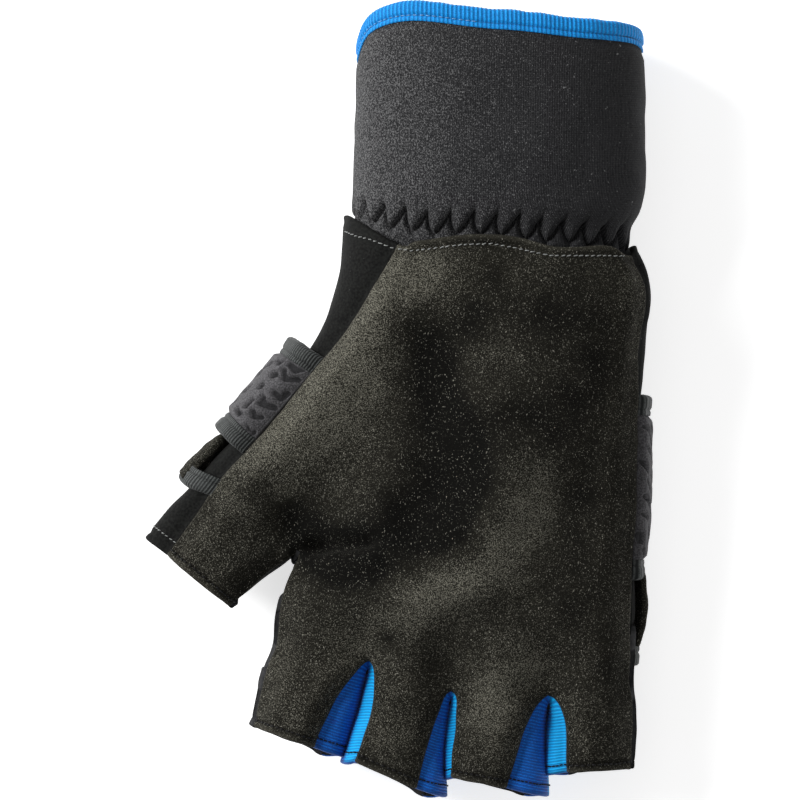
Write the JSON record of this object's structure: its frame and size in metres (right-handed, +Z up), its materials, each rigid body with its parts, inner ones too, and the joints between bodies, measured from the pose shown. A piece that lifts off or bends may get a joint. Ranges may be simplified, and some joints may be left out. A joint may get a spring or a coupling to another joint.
{
  "type": "flip-top glove",
  "caption": "Right-hand fingerless sport glove with a fold-back mitten hood and thumb cap held under embossed keeper bands, and a long stretch cuff.",
  "frame": {"origin": "middle of the glove's outline on the surface that it lies on", "axes": "+Z up, out of the palm; +Y towards the wrist and cuff; +X towards the little finger; the thumb is on the -X side"},
  "size_m": [0.1462, 0.2268, 0.0459],
  "materials": {
    "neoprene_black": "black stretch jersey over foam, fine vertical knit",
    "suede": "dark olive-brown synthetic suede, matt, with pale fibre specks",
    "shell_black": "smooth black stretch woven cloth",
    "binding_blue": "ribbed azure binding tape",
    "knit_blue": "azure stretch knit with fine cross ribs",
    "embossed_neoprene": "dark grey foam sheet with an embossed pattern of rounded islands",
    "binding_grey": "ribbed dark grey binding tape"
  },
  "bodies": {
    "root": {"cuff": "neoprene_black", "cuff_binding": "binding_blue", "palm": "suede", "back_shell": "shell_black", "thumb_gusset": "shell_black", "fourchette_index_middle": "knit_blue", "fourchette_middle_ring": "knit_blue", "fourchette_ring_little": "knit_blue", "flip_hood": "suede", "hood_binding": "binding_grey", "keeper_band": "embossed_neoprene", "keeper_binding_wrist": "binding_grey", "keeper_binding_tip": "binding_grey", "thumb_cap": "suede", "thumb_cap_binding": "binding_grey", "thumb_keeper_band": "embossed_neoprene", "thumb_keeper_binding_wrist": "binding_grey", "thumb_keeper_binding_tip": "binding_grey"}
  },
  "joints": []
}
